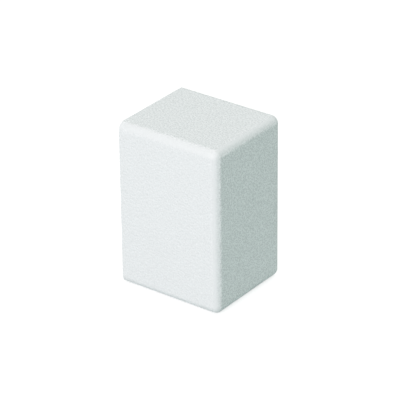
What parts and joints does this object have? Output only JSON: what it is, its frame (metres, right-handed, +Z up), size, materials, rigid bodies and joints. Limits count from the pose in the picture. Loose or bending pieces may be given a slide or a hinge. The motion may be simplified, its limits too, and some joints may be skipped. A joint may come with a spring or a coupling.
{
  "type": "profile end cap",
  "caption": "One-piece moulded plastic cap, closed on five sides with rounded edges, that slips over the cut end of a rectangular profile.",
  "frame": {"origin": "bottom centre of the cap's outer box, on the face of its lower side wall", "axes": "+Z up along the longest side, +X from the open mouth to the closed end, Y across the narrow side"},
  "size_m": [0.0428, 0.0386, 0.0644],
  "materials": {
    "moulded_plastic": "fine moulded grain, matte, off-white"
  },
  "bodies": {
    "root": {"end_cap": "moulded_plastic"}
  },
  "joints": []
}
